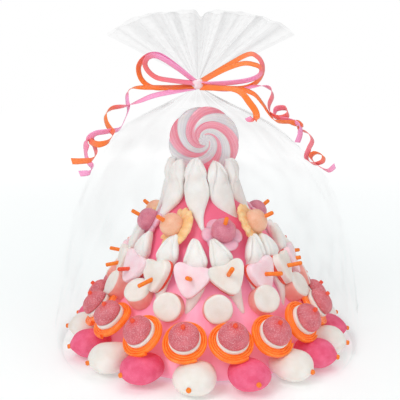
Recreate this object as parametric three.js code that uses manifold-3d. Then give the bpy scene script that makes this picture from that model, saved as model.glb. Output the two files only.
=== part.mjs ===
// A candy tower in a clear gift bag, in millimetres, +Z up, standing on z = 0, with its front towards -Y.
// Sweets are pinned in rings to a pink cone on a round board, and the bag round them is tied with a bow.
import * as THREE from "three";
import { mergeVertices } from "three/addons/utils/BufferGeometryUtils.js";
import Module from "manifold-3d";

const wasm = await Module();
wasm.setup();

// Driving dimensions. The tower stands forward in the bag, so all is moved back by MIDDLE to centre the bag.
const MIDDLE = 5.4;

// A row of the cone is its radius and height with the lean of its middle to +X and +Y.
const BOARD = { radius: 106, thickness: 1, foot: 1.3, y: -7, sides: 24 };
const CONE = [[112.5, 2.6, 0, -7], [113, 5, 0, -7], [97, 34, 0, -5], [83, 60, 0, -3], [56, 117, 0, 0],
  [27, 152, -3, 0], [24, 168, -4, 0], [18, 176, -4.5, 0]];
const CONE_SIDES = 20;
const PIN = { radius: 2, sides: 5 };
const GAP = 0.35;

// A ring gives the turns of its sweets from the front in degrees, then the radius, height and upward tilt of
// the back of each sweet. The sweets in front have turns of their own; the rest are spread round the back.
const DROP_RING = {
  turns: turns([-86, -64, -43, -23.5, -4, 15, 33, 50, 67.5, 85.5], 20), radius: 108.5, height: 15.2, y: -8,
};
const DROP_YAWS = [0, -6, -15, -28, -9, 3, 17, 15];
const DROP = { halfWidth: 19, halfHeight: 13.2, length: 39.4, pinShows: 1.6, sides: 8, pink: 0.96 };

const WHEEL_RING = { turns: turns([-71, -52.5, -28.5, -9.6, 9.4, 27.8, 48.5, 71], 17), y: -3 };
const WHEEL_SETS = [[107, 38.5, 46, -10], [109, 38.5, 54, -8], [117, 38.5, 46, -16], [117, 37.3, 52, -2],
  [117, 37, 56, 6], [116, 38.5, 44, 6], [111, 40.5, 36, 4], [106, 41, 36, 6]];
const WHEEL = { radius: 19, thickness: 4.6, sides: 8 };
const JELLY = { foot: 14, radius: 13.4, shoulder: 12.5, top: 20.5, pinShows: 1.6 };

const ROUND_RING = { turns: turns([-72, -46, -23, 5, 34, 66], 14), radius: 84.5, height: 55.5 };
const ROUND_SETS = [[1, 30, 4], [1, 50, 22], [-1, 22, 10], [0, 19, 0], [2, 28, -12], [1, 36, -8]];
const ROUND = { radius: 13.2, length: 17.5, edge: 2, sides: 8 };

const HEART_RING = { count: 16, first: 12, radius: 78.5, height: 82, tilt: 20 };
const HEART_LEANS = { 0: 16, 15: -9, 1: 8 };
const HEART_YAWS = { 14: -17, 1: 14, 2: 12 };
const HEART = { halfWidth: 17, top: 14, tip: -17, thickness: 10.8, pinShows: 17 };

const MOUSE_RING = {
  turns: turns([-82, -58, -31, -9, 13, 35, 55, 78], 16), radius: 73, height: 82, tilt: 22,
};
const CROWN_RING = { turns: turns([-95, -55, -9, 34, 76], 8), radius: 22.5, height: 148.5, tilt: 0, x: -5 };
const MOUSE_SIDES = 5;

const FLOWER_RING = { turns: turns([-75, -31, 13, 48, 119], 8), radius: 51, height: 119, tilt: 30 };
const FLOWER_SETS = [[51, 118, 30, -10], [51.3, 119, 34, -28], [55, 114.5, 50, 0], [50, 121, 30, 25],
  [50, 118, 32, 0]];
const FLOWER = { radius: 19.5, thickness: 6.5, domeRadius: 11.5, domeTop: 21, pinShows: 8 };

const LOLLIPOP = {
  radius: 35, halfThickness: 4.6, x: -3.5, z: 198, stickRadius: 2.2, stickFoot: 176.4, sides: 20,
};

// The bag and its hollow are outlines of half width and height; the hollow adds its middle in X and Y.
const BAG = {
  outline: [[147, 0], [152, 10], [149, 46], [139, 112], [113, 172], [74, 214], [30, 237], [6.6, 249]],
  baseDepth: 1.035, neckDepth: 0.9, sides: 32, pleats: 8, shoulderPleat: 3, forward: -6,
  neckX: -9.5, neckRadius: 6.5, neckTop: 259,
};
const RUFFLE = { x: -6.5, halfWidth: 90, halfDepth: 13, top: 323, cornerTop: 301, pleatDepth: 6 };
const HOLLOW = [[146.4, 1, 0, -7], [148.2, 7, 0, -7], [148.2, 20, 0, -7], [142.5, 34, 0, -6],
  [135, 58, 0, -4], [117, 95, 0, -2], [94, 108, 0, 0], [86, 143, 0, 0], [58, 153, -4, 0], [46, 186, -4, 0],
  [43, 212, -4, 0], [32, 230, -6, 0], [8, 238, -9, 0]];
const HOLLOW_DEPTH = 1.03;
const HOLLOW_SIDES = 20;
const THROAT = { radius: 1.5, low: 225, high: 335, sides: 6 };

const SLIVER = 0.3;
const RIBBON = { width: 6.3, thickness: 0.9, loopFlare: 45, knotZ: 254, knotY: -11 };

// Colours as seen on each kind of sweet.
const COLOUR = {
  card: 0xe9e4dc, cone: 0xe8a0a8, white: 0xf2eee6, pink: 0xec5f8f, orange: 0xf57d23,
  purple: 0xcd7d96, peach: 0xfac882, lollipop: 0xf08f9c, film: 0xe8eef0, ribbon: 0xfa8c6e,
};

const group = new THREE.Group();
group.name = "candy_tower";

function radians(degrees) {
  return degrees * Math.PI / 180;
}

// A steady unevenness from sweet to sweet, between -1 and 1.
function sway(index, kind) {
  return Math.sin(2.4 * index + 1.7 * kind);
}

// Where the sweets of a ring stand: as given in front, and evenly round the back.
function turns(front, count) {
  const last = front[front.length - 1];
  const gap = (front[0] + 360 - last) / (count - front.length + 1);
  const behind = Array.from({ length: count - front.length }, (_, number) => last + gap * (number + 1));
  return [...front, ...behind];
}

function addPart(name, geometry, colour, roughness, opacity = 1) {
  const material = new THREE.MeshStandardMaterial({ color: colour, roughness, metalness: 0 });
  material.opacity = opacity;
  material.transparent = opacity < 1;
  geometry.translate(0, MIDDLE, 0);
  geometry.computeVertexNormals();
  const mesh = new THREE.Mesh(geometry, material);
  mesh.name = name;
  group.add(mesh);
}

function solidOf(geometry) {
  const bare = geometry.clone();
  bare.deleteAttribute("normal");
  bare.deleteAttribute("uv");
  const joined = mergeVertices(bare, 1e-4);
  return new wasm.Manifold(new wasm.Mesh({
    numProp: 3,
    vertProperties: new Float32Array(joined.attributes.position.array),
    triVerts: new Uint32Array(joined.index.array),
  }));
}

function geometryOf(solid) {
  const mesh = solid.getMesh();
  const geometry = new THREE.BufferGeometry();
  geometry.setAttribute("position", new THREE.BufferAttribute(new Float32Array(mesh.vertProperties), 3));
  geometry.setIndex(new THREE.BufferAttribute(new Uint32Array(mesh.triVerts), 1));
  return geometry;
}

// The largest body of a solid, with the pockets shut in it filled and slivers of its faces cleared.
function body(solid) {
  const shells = solid.asOriginal().simplify(SLIVER).decompose();
  return shells.reduce((best, shell) => (shell.volume() > best.volume() ? shell : best));
}

function fuse(geometries) {
  return geometryOf(body(wasm.Manifold.union(geometries.map(solidOf))));
}

// A closed skin over rings of equal point counts, each ring running counter-clockwise seen from the next.
function skin(rings) {
  const count = rings[0].length;
  const points = rings.flat();
  const faces = [];
  for (let row = 0; row + 1 < rings.length; row += 1) {
    for (let column = 0; column < count; column += 1) {
      const next = (column + 1) % count;
      const a = row * count + column;
      const b = row * count + next;
      faces.push(a, b, b + count, a, b + count, a + count);
    }
  }
  const ends = [rings[0], rings[rings.length - 1]];
  ends.forEach((ring, end) => {
    const middle = points.length;
    const centre = new THREE.Vector3();
    ring.forEach((point) => centre.addScaledVector(point, 1 / count));
    points.push(centre);
    const start = end * (rings.length - 1) * count;
    for (let column = 0; column < count; column += 1) {
      const here = start + column;
      const next = start + (column + 1) % count;
      faces.push(middle, end === 0 ? next : here, end === 0 ? here : next);
    }
  });
  const geometry = new THREE.BufferGeometry().setFromPoints(points);
  geometry.setIndex(faces);
  return geometry;
}

// A turned solid about +Z from an outline of [radius, height] pairs that starts and ends on the axis.
function turned(outline, sides) {
  const points = outline.map(([radius, height]) => new THREE.Vector2(radius, height));
  return new THREE.LatheGeometry(points, sides).rotateX(Math.PI / 2);
}

function pin(from, to) {
  const length = to - from;
  const rod = new THREE.CylinderGeometry(PIN.radius, PIN.radius, length, PIN.sides);
  return rod.rotateX(Math.PI / 2).translate(0, 0, from + length / 2);
}

// The place of one sweet: its +Z points outward and its +Y up along the cone; yaw turns it aside.
function place(geometry, { turn, radius, height, tilt, spin = 0, yaw = 0, x = 0, y = 0 }) {
  const matrix = new THREE.Matrix4().makeTranslation(x, y, 0);
  matrix.multiply(new THREE.Matrix4().makeRotationZ(radians(turn)));
  matrix.multiply(new THREE.Matrix4().makeTranslation(0, -radius, height));
  matrix.multiply(new THREE.Matrix4().makeRotationZ(radians(yaw)));
  matrix.multiply(new THREE.Matrix4().makeRotationX(radians(90 - tilt)));
  matrix.multiply(new THREE.Matrix4().makeRotationZ(radians(spin)));
  return geometry.applyMatrix4(matrix);
}

// A ring of points about a middle, flattened by depth.
function oval(halfWidth, z, x, y, depth, sides) {
  const ring = [];
  for (let side = 0; side < sides; side += 1) {
    const angle = 2 * Math.PI * side / sides;
    const across = halfWidth * Math.cos(angle);
    const along = depth * halfWidth * Math.sin(angle);
    ring.push(new THREE.Vector3(x + across, y + along, z));
  }
  return ring;
}

function label(name, index) {
  return `${name}_${String(index + 1).padStart(2, "0")}`;
}

// Round card board under the cone.
const board = new THREE.CylinderGeometry(BOARD.radius, BOARD.radius, BOARD.thickness, BOARD.sides);
board.rotateX(Math.PI / 2).translate(0, BOARD.y, BOARD.foot + BOARD.thickness / 2);
addPart("board", board, COLOUR.card, 0.7);

// The pink cone; grown by a gap it trims the sweets that are pinned against it.
function cone(grow) {
  const rings = CONE.map(([radius, z, x, y]) => oval(radius + grow, z, x, y, 1, CONE_SIDES));
  return skin(rings);
}

// Foam drops lying outward round the foot, onion-shaped, with the tip of the pin showing at the point.
function drop(index, grow) {
  const swell = [[0, 0], [0.5, 0], [0.9, 0.24], [1, 0.52], [0.74, 0.8], [0.14, 1]];
  const small = index % 2 === 0 ? 1 : DROP.pink;
  const halfWidth = small * DROP.halfWidth + grow;
  const halfHeight = small * DROP.halfHeight + grow;
  const outline = swell.map(([wide, along]) => [wide * halfWidth, along * DROP.length]);
  outline.push([PIN.radius, DROP.length + DROP.pinShows]);
  outline.push([0, DROP.length + DROP.pinShows]);
  const turn = DROP_RING.turns[index];
  const spot = { ...DROP_RING, turn, tilt: 1.5 * sway(index, 1), yaw: DROP_YAWS[index] ?? 0 };
  spot.radius -= 7 * Math.sin(radians(turn)) ** 2;
  return place(turned(outline, DROP.sides).scale(1, halfHeight / halfWidth, 1), spot);
}

const coneRoom = solidOf(cone(GAP));
DROP_RING.turns.forEach((turn, index) => {
  let sweet = solidOf(drop(index, 0)).subtract(coneRoom);
  if (index > 0) {
    sweet = sweet.subtract(solidOf(drop(index - 1, GAP)));
  }
  if (index + 1 === DROP_RING.turns.length) {
    sweet = sweet.subtract(solidOf(drop(0, GAP)));
  }
  const colour = index % 2 === 0 ? COLOUR.white : COLOUR.pink;
  addPart(label("foam_drop", index), geometryOf(body(sweet)), colour, 0.6);
});

// Short foam cylinder on the cone above the wheels, with softened edges, its flat white end outward.
function round(index, grow) {
  const { length, edge, sides } = ROUND;
  const radius = ROUND.radius + grow;
  const end = length + grow;
  const outline = [[0, 0], [radius, 0], [radius, end - edge], [radius - edge, end], [0, end]];
  const usual = [4 + 2 * sway(index, 2), 26 + 8 * sway(index, 1), 8 * sway(index, 3)];
  const [lift, tilt, yaw] = ROUND_SETS[index] ?? usual;
  const spot = { turn: ROUND_RING.turns[index], radius: ROUND_RING.radius, height: ROUND_RING.height + lift };
  return place(turned(outline, sides), { ...spot, tilt, yaw });
}

// Rolled orange wheels, each with a domed jelly on a foam foot, pinned above the drops and resting on them.
function wheelWithJelly(index) {
  const { foot, radius: domeRadius, shoulder, top, pinShows } = JELLY;
  const { thickness } = WHEEL;
  const dome = [[domeRadius, shoulder], [0.75 * domeRadius, 0.4 * shoulder + 0.6 * top], [PIN.radius, top]];
  const outline = [[0, 0], [WHEEL.radius, 0.6], [WHEEL.radius, thickness], [foot, thickness],
    ...dome, [PIN.radius, top + pinShows], [0, top + pinShows]];
  const usual = [103, 37.5, 36 + 4 * sway(index, 1), 4 * sway(index, 4)];
  const [radius, height, tilt, yaw] = WHEEL_SETS[index] ?? usual;
  const spot = { ...WHEEL_RING, turn: WHEEL_RING.turns[index], radius, height, tilt, yaw };
  return place(turned(outline, WHEEL.sides), spot);
}

// The room of a wheel and a gap round it, which its neighbour keeps clear of.
function wheelRoom(index) {
  const grown = 1 + GAP / JELLY.foot;
  const wheel = wheelWithJelly(index);
  wheel.computeBoundingBox();
  const centre = wheel.boundingBox.getCenter(new THREE.Vector3());
  wheel.translate(-centre.x, -centre.y, -centre.z).scale(grown, grown, grown);
  return solidOf(wheel.translate(centre.x, centre.y, centre.z));
}

const dropRoom = wasm.Manifold.union(DROP_RING.turns.map((turn, index) => solidOf(drop(index, GAP))));
const roundRoom = wasm.Manifold.union(ROUND_RING.turns.map((turn, index) => solidOf(round(index, GAP))));
WHEEL_RING.turns.forEach((turn, index) => {
  let sweet = solidOf(wheelWithJelly(index)).subtract(dropRoom).subtract(coneRoom).subtract(roundRoom);
  if (index > 0) {
    sweet = sweet.subtract(wheelRoom(index - 1));
  }
  addPart(label("wheel_with_jelly", index), geometryOf(body(sweet)), COLOUR.orange, 0.5);
});

// A foam mouse, nose up, from rows of height, half width, half depth, sideways swing and reach outward.
const MOUSE = [[-37, 1.6, 1.2, 7, 3.4], [-23, 4.8, 2.8, 1.2, 4.2], [-3, 10.2, 4.8, -1.2, 5],
  [14, 11.2, 6.4, 0.3, 6], [35.8, 2, 2, 3, 5.2]];
const MOUSE_ASIDES = [1, 1, 1, -1, 0, 1, -1, 1, 1, 0, 1, -1, 1, 0, -1, 1];
const CROWN_MOUSE = [[-32, 1, 1, 7.6, 31], [-15, 5.8, 4, 1, 19.4], [2, 12, 7, 0, 10.8],
  [20, 10.4, 7, 0, 8], [36, 2.4, 2.4, 0, 6.6]];
const CROWN_LEANS = [-6.5, -9, 4, 11, 15];

function mouse(rows, aside) {
  const rings = rows.map(([height, wide, deep, swing, out]) => {
    const ring = [];
    for (let side = 0; side < MOUSE_SIDES; side += 1) {
      const angle = 2 * Math.PI * (side + 0.5) / MOUSE_SIDES;
      const z = out + deep * Math.cos(angle);
      ring.push(new THREE.Vector3(aside * swing + wide * Math.sin(angle), height, z));
    }
    return ring;
  });
  return skin(rings);
}

// Puffed heart, tip down, with its pin standing out of the middle.
function heart(index) {
  const { halfWidth, top, tip } = HEART;
  const shape = new THREE.Shape();
  shape.moveTo(0, tip);
  shape.bezierCurveTo(0.35 * halfWidth, 0.65 * tip, halfWidth, 0.25 * tip, halfWidth, 0.35 * top);
  shape.bezierCurveTo(halfWidth, 0.8 * top, 0.75 * halfWidth, top, 0.5 * halfWidth, top);
  shape.bezierCurveTo(0.25 * halfWidth, top, 0.1 * halfWidth, 0.82 * top, 0, 0.62 * top);
  shape.bezierCurveTo(-0.1 * halfWidth, 0.82 * top, -0.25 * halfWidth, top, -0.5 * halfWidth, top);
  shape.bezierCurveTo(-0.75 * halfWidth, top, -halfWidth, 0.8 * top, -halfWidth, 0.35 * top);
  shape.bezierCurveTo(-halfWidth, 0.25 * tip, -0.35 * halfWidth, 0.65 * tip, 0, tip);
  const flat = { depth: HEART.thickness, bevelEnabled: false, curveSegments: 2 };
  const slab = new THREE.ExtrudeGeometry(shape, flat);
  slab.rotateZ(radians(HEART_LEANS[index] ?? 10 * sway(index, 3)));
  const stick = pin(1, HEART.thickness + HEART.pinShows + 4 * sway(index, 4));
  return fuse([slab, stick]);
}

// Domed jelly flower with its pin: round petals on every second one, finer scallops on the others.
function flower(index) {
  const petals = index % 2 === 0 ? 6 : 8;
  const valley = index % 2 === 0 ? 0.78 : 0.9;
  const points = [];
  for (let step = 0; step < 2 * petals; step += 1) {
    const angle = Math.PI * step / petals;
    const reach = FLOWER.radius * (step % 2 === 0 ? 1 : valley);
    points.push(new THREE.Vector2(reach * Math.cos(angle), reach * Math.sin(angle)));
  }
  const { domeRadius, domeTop, thickness } = FLOWER;
  const flat = { depth: thickness, bevelEnabled: false };
  const plate = new THREE.ExtrudeGeometry(new THREE.Shape(points), flat);
  const shoulder = [[domeRadius, 0.55 * domeTop], [0.7 * domeRadius, 0.85 * domeTop]];
  const dome = turned([[0, 1], [domeRadius, 1], ...shoulder, [0, domeTop]], 8);
  return fuse([plate, dome, pin(2, domeTop + FLOWER.pinShows)]);
}

// Lollipop disc standing over the crown, facing the front, on its stick.
const { radius: discRadius, halfThickness } = LOLLIPOP;
const discOutline = [[0, -halfThickness], [0.86 * discRadius, -halfThickness],
  [discRadius, -0.4 * halfThickness], [discRadius, 0.4 * halfThickness],
  [0.86 * discRadius, halfThickness], [0, halfThickness]];
const disc = turned(discOutline, LOLLIPOP.sides).rotateX(Math.PI / 2);
disc.translate(LOLLIPOP.x, 0, LOLLIPOP.z);
const stickLength = LOLLIPOP.z - LOLLIPOP.stickFoot;
const { stickRadius } = LOLLIPOP;
const lollipopStick = new THREE.CylinderGeometry(stickRadius, stickRadius, stickLength, 8);
lollipopStick.rotateX(Math.PI / 2).translate(LOLLIPOP.x, 0, LOLLIPOP.stickFoot + stickLength / 2);
addPart("swirl_lollipop", fuse([disc, lollipopStick]), COLOUR.lollipop, 0.15);

// Pink cone with the rows that are pressed into one another: rounds, mice, hearts, flowers, crown of mice.
const rows = [cone(0)];
ROUND_RING.turns.forEach((turn, index) => rows.push(round(index, 0)));
MOUSE_RING.turns.forEach((turn, index) => {
  const aside = MOUSE_ASIDES[index];
  const spin = index === 4 ? 19 : 5 * sway(index, 3);
  rows.push(place(mouse(MOUSE, aside), { ...MOUSE_RING, turn, spin }));
});
for (let index = 0; index < HEART_RING.count; index += 1) {
  const turn = HEART_RING.first + 360 * index / HEART_RING.count;
  const tilt = HEART_RING.tilt + 5 * sway(index, 1);
  rows.push(place(heart(index), { ...HEART_RING, turn, tilt, yaw: HEART_YAWS[index] ?? 0 }));
}
FLOWER_RING.turns.forEach((turn, index) => {
  const usual = [FLOWER_RING.radius, FLOWER_RING.height, FLOWER_RING.tilt, 6 * sway(index, 4)];
  const [radius, height, tilt, yaw] = FLOWER_SETS[index] ?? usual;
  rows.push(place(flower(index), { turn, radius, height, tilt, yaw, spin: 30 + 25 * sway(index, 2) }));
});
CROWN_RING.turns.forEach((turn, index) => {
  const aside = index === 1 || index === 4 || index === 6 ? -1 : 1;
  const spin = CROWN_LEANS[index] ?? 3 * sway(index, 3);
  rows.push(place(mouse(CROWN_MOUSE, aside), { ...CROWN_RING, turn, spin }));
});
const room = turned(discOutline.map(([r, z]) => [r * 1.02, z * 1.1]), LOLLIPOP.sides).rotateX(Math.PI / 2);
room.translate(LOLLIPOP.x, 0, LOLLIPOP.z);
const tower = wasm.Manifold.union(rows.map(solidOf)).subtract(solidOf(room));
addPart("cone_with_pressed_sweets", geometryOf(body(tower)), COLOUR.cone, 0.6);

// Ribbon bow round the neck of the bag: a knotted band, two pairs of loops, four curled tails, a short end.
function strip(curve, steps, widthAt) {
  const rings = [];
  for (let step = 0; step <= steps; step += 1) {
    const along = step / steps;
    const tangent = curve.getTangent(along);
    const wide = widthAt(along, tangent);
    wide.addScaledVector(tangent, -wide.dot(tangent)).normalize();
    const thick = tangent.clone().cross(wide).multiplyScalar(RIBBON.thickness / 2);
    wide.multiplyScalar(RIBBON.width / 2);
    const corners = [[1, 1], [-1, 1], [-1, -1], [1, -1]];
    const centre = curve.getPoint(along);
    rings.push(corners.map(([w, t]) => centre.clone().addScaledVector(wide, w).addScaledVector(thick, t)));
  }
  return skin(rings);
}

function fromKnot([x, y, z]) {
  return new THREE.Vector3(BAG.neckX + x, RIBBON.knotY + y, RIBBON.knotZ + z);
}

function loop(points) {
  const curve = new THREE.CatmullRomCurve3(points.map(fromKnot));
  const flare = radians(RIBBON.loopFlare);
  return strip(curve, 12, (along, tangent) => {
    const back = new THREE.Vector3(0, 1, 0);
    const across = back.clone().cross(tangent);
    return back.multiplyScalar(Math.cos(flare)).addScaledVector(across, Math.sin(flare));
  });
}

// A tail that runs out over the shoulder and winds down beside the bag; its face turns as the curl turns.
function tail(points) {
  const curve = new THREE.CatmullRomCurve3(points.map(fromKnot));
  const first = curve.getPoint(0.3);
  const axis = curve.getPoint(1).sub(first).normalize();
  return strip(curve, Math.round(1.15 * points.length), (along) => {
    const blend = THREE.MathUtils.smoothstep(along, 0.1, 0.3);
    return new THREE.Vector3(0, 0.7, 0.7).lerp(axis.clone().add(new THREE.Vector3(0, 0.9, 0)), blend);
  });
}

// The short end, which hangs over the front with its face outward.
function shortEnd(points) {
  const curve = new THREE.CatmullRomCurve3(points.map(fromKnot));
  return strip(curve, 14, (along) => {
    const blend = THREE.MathUtils.smoothstep(along, 0.25, 0.5);
    return new THREE.Vector3(0, 0.7, 0.7).lerp(new THREE.Vector3(0.9, 0.1, 0.4), blend);
  });
}

const band = turned([[7.2, -4], [9.6, -4], [9.6, 4], [7.2, 4], [7.2, -4]], 12);
const knot = new THREE.IcosahedronGeometry(1, 0).scale(7, 4, 5.5);
const bow = fuse([
  band.translate(BAG.neckX, 0, RIBBON.knotZ),
  knot.translate(BAG.neckX, RIBBON.knotY, RIBBON.knotZ),
  loop([[-3, 0, -1], [-22, -6, -3], [-42, -8, -3], [-52.5, -8, 4], [-55.5, -8, 15], [-51, -8, 23],
    [-42, -8, 27.5], [-30, -7, 24], [-3, 0, 3]]),
  loop([[-3, -1, 1], [-25, -11, 3.5], [-38, -13, 6], [-46, -13, 12], [-49, -13, 19], [-45, -13, 25],
    [-36, -12, 25], [-20, -10, 15.5], [-3, -1, 3]]),
  loop([[3, 0, -1], [22, -6, -3.5], [42, -8, -3.5], [54, -8, 1], [60, -8, 9], [60.5, -8, 18], [56, -8, 25],
    [47, -8, 27.5], [27, -6, 17], [3, 0, 3]]),
  loop([[3, -1, 0], [26, -11, 1], [46, -13, 3.5], [57, -13, 8], [59, -13, 14], [54, -13, 17.5],
    [42, -13, 19], [24, -11, 13], [3, -1, 2]]),
  tail([[-3, 0, -2], [-26, -5, -3], [-48, -11, -3], [-60, -15, -3.5], [-65, -17, -7], [-65.5, -19, -14.5],
    [-64, -23, -22.5], [-67, -29, -32], [-71, -37, -40], [-80, -45, -41.5], [-92, -47, -43.5],
    [-99, -43, -50.5], [-102, -39, -60], [-99.5, -43, -68.5], [-94.5, -49, -73], [-97, -53, -77.5],
    [-106, -51, -79]]),
  tail([[-3, 0, -3], [-22, -9, -6.5], [-41, -17, -10.5], [-55, -23, -16], [-66, -25, -19.5],
    [-78.5, -27, -21.5], [-84, -31, -27], [-82.5, -37, -34.5], [-77.5, -45, -40.5], [-74.5, -51, -43],
    [-79, -55, -49.5], [-88, -53, -52.5], [-96, -45, -50.5], [-97.5, -39, -46], [-93.5, -41, -55],
    [-91, -49, -62], [-94.5, -55, -66], [-105, -53, -67.5], [-113, -49, -68]]),
  tail([[3, 0, -2], [23, -5, -4.5], [41.5, -9, -3.5], [58, -13, -1.5], [67, -15, -3.5], [69.5, -17, -10],
    [66, -21, -19], [67, -27, -26.5], [74.5, -35, -30], [81.5, -37, -27], [80, -31, -21.5], [72, -27, -22.5],
    [71, -31, -29.5], [81.5, -39, -32], [90, -43, -35.5], [92.5, -41, -43.5], [90.5, -39, -52]]),
  tail([[3, 0, -3], [23, -9, -3.5], [39.5, -15, -4.5], [52, -19, -9], [60, -23, -18], [65.5, -29, -27],
    [71, -37, -33], [83, -43, -33.5], [91.5, -39, -35.5], [94.5, -35, -41], [100, -39, -43.5],
    [103, -45, -49.5], [99.5, -47, -57.5], [99, -43, -66], [104, -47, -70.5], [110.5, -55, -67.5],
    [111.5, -53, -62.5], [105.5, -47, -60.5], [102, -45, -65], [107.5, -51, -71.5], [116, -55, -75.5],
    [122.5, -53, -71.5]]),
  shortEnd([[3, -1, -3], [18.5, -19, -3.5], [33, -27, -4.5], [40.5, -33, -8.5], [46.5, -37, -16],
    [51.5, -39, -23], [53, -41, -28.5], [51, -43, -31], [47, -41, -31.5], [45.5, -37, -29.5]]),
]);
addPart("ribbon_bow", bow, COLOUR.ribbon, 0.35);

// Clear bag round the hollow for the sweets: upright sides on a flat bottom, shoulders drawn in by pleats to
// the tied neck, and a flattened fan above it. A narrow throat through the gathers lets the air out.
function bagRing(halfWidth, z) {
  const rise = THREE.MathUtils.clamp(z / BAG.neckTop, 0, 1);
  const gather = THREE.MathUtils.smoothstep(z, 165, 240);
  const depth = THREE.MathUtils.lerp(BAG.baseDepth, BAG.neckDepth, rise);
  const pleat = BAG.shoulderPleat * gather * Math.min(1, halfWidth / 40);
  const ring = [];
  for (let side = 0; side < BAG.sides; side += 1) {
    const angle = 2 * Math.PI * side / BAG.sides;
    const reach = halfWidth + pleat * Math.cos(BAG.pleats * angle);
    const x = BAG.neckX * THREE.MathUtils.smoothstep(z, 150, 245) + reach * Math.cos(angle);
    const y = BAG.forward * (1 - rise) ** 2 + depth * reach * Math.sin(angle);
    ring.push(new THREE.Vector3(x, y, z));
  }
  return ring;
}

function ruffleRing(open) {
  const ring = [];
  for (let side = 0; side < BAG.sides; side += 1) {
    const angle = 2 * Math.PI * side / BAG.sides;
    const mouth = RUFFLE.top - (RUFFLE.top - RUFFLE.cornerTop) * Math.abs(Math.cos(angle)) ** 3;
    const halfWidth = THREE.MathUtils.lerp(BAG.neckRadius, RUFFLE.halfWidth, open);
    const halfDepth = THREE.MathUtils.lerp(BAG.neckDepth * BAG.neckRadius, RUFFLE.halfDepth, open);
    const wave = RUFFLE.pleatDepth * open * Math.cos(BAG.pleats * angle);
    const x = THREE.MathUtils.lerp(BAG.neckX, RUFFLE.x, open) + halfWidth * Math.cos(angle);
    const z = THREE.MathUtils.lerp(BAG.neckTop, mouth, open);
    ring.push(new THREE.Vector3(x, halfDepth * Math.sin(angle) + wave, z));
  }
  return ring;
}

const side = new THREE.SplineCurve(BAG.outline.map(([halfWidth, z]) => new THREE.Vector2(halfWidth, z)));
const bagRings = side.getPoints(12).map((point) => bagRing(point.x, point.y));
[0, 0.25, 0.6, 1].forEach((open) => bagRings.push(ruffleRing(open)));
const throatLength = THROAT.high - THROAT.low;
const throat = new THREE.CylinderGeometry(THROAT.radius, THROAT.radius, throatLength, THROAT.sides);
throat.rotateX(Math.PI / 2).translate(BAG.neckX, 0, THROAT.low + throatLength / 2);
const hollowRings = HOLLOW.map(([wide, z, x, y]) => oval(wide, z, x, y, HOLLOW_DEPTH, HOLLOW_SIDES));
const inside = solidOf(skin(hollowRings)).add(solidOf(throat));
const bag = solidOf(skin(bagRings)).subtract(inside);
addPart("clear_bag", geometryOf(bag), COLOUR.film, 0.1, 0.25);

export default group;
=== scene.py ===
import math

import bpy
from mathutils import Matrix, Vector, noise


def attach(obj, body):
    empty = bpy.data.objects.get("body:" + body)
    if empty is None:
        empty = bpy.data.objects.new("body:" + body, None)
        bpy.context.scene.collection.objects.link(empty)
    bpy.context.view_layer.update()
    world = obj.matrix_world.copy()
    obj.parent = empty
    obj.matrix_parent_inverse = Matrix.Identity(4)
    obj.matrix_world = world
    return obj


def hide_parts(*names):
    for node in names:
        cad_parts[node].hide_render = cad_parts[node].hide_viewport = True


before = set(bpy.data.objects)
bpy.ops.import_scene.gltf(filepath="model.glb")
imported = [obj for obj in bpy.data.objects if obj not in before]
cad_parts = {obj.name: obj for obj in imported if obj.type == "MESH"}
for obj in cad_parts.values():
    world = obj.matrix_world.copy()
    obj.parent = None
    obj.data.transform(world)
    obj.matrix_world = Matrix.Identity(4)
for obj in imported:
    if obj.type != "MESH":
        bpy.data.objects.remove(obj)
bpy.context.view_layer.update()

# Board: a round white card that carries the cone. It lies on the bottom of the bag, hidden behind the drops,
# and is cut from plain pulp card with a faint grain.
MM = 0.001
MIX_SHARE = 0
MIX_FIRST = 6
MIX_SECOND = 7
MIX_RESULT = 2


def paint(red, green, blue):
    """A colour as seen, 0 to 255 for each part, as the light values that a shader takes."""
    parts = [part / 255 for part in (red, green, blue)]
    parts = [part / 12.92 if part <= 0.04045 else ((part + 0.055) / 1.055) ** 2.4 for part in parts]
    return (*parts, 1.0)


def feed(tree, node, feeds):
    """Feeds inputs of a shader node, each from an output of another node or with a plain value."""
    for title, source in feeds.items():
        if isinstance(source, bpy.types.NodeSocket):
            tree.links.new(source, node.inputs[title])
        else:
            node.inputs[title].default_value = source
    return node


def add_node(tree, kind, feeds):
    """A shader node of this kind, fed."""
    return feed(tree, tree.nodes.new("ShaderNode" + kind), feeds)


def add_place(tree):
    """Where on its piece a point lies."""
    return tree.nodes.new("ShaderNodeTexCoord").outputs["Object"]


def add_range(tree, value, low, high, start=0.0, end=1.0):
    """A value between low and high, drawn out from a start to an end."""
    feeds = {"Value": value, "From Min": low, "From Max": high, "To Min": start, "To Max": end}
    return add_node(tree, "MapRange", feeds).outputs["Result"]


def add_blend(tree, share, first, second):
    """The colour between a first and a second one, by the share of the second."""
    blend = tree.nodes.new("ShaderNodeMix")
    blend.data_type = "RGBA"
    feed(tree, blend, {MIX_SHARE: share, MIX_FIRST: first, MIX_SECOND: second})
    return blend.outputs[MIX_RESULT]


def effect(name, inputs, outputs):
    """A shader node group with named sockets, and its two end nodes."""
    group = bpy.data.node_groups.new(name, "ShaderNodeTree")
    for title, kind, value in inputs:
        socket = group.interface.new_socket(title, in_out="INPUT", socket_type=kind)
        socket.default_value = value
    for title, kind in outputs:
        group.interface.new_socket(title, in_out="OUTPUT", socket_type=kind)
    return group, group.nodes.new("NodeGroupInput"), group.nodes.new("NodeGroupOutput")


def add_effect(tree, group, feeds):
    """A shared effect, fed."""
    node = tree.nodes.new("ShaderNodeGroup")
    node.node_tree = group
    return feed(tree, node, feeds)


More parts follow.
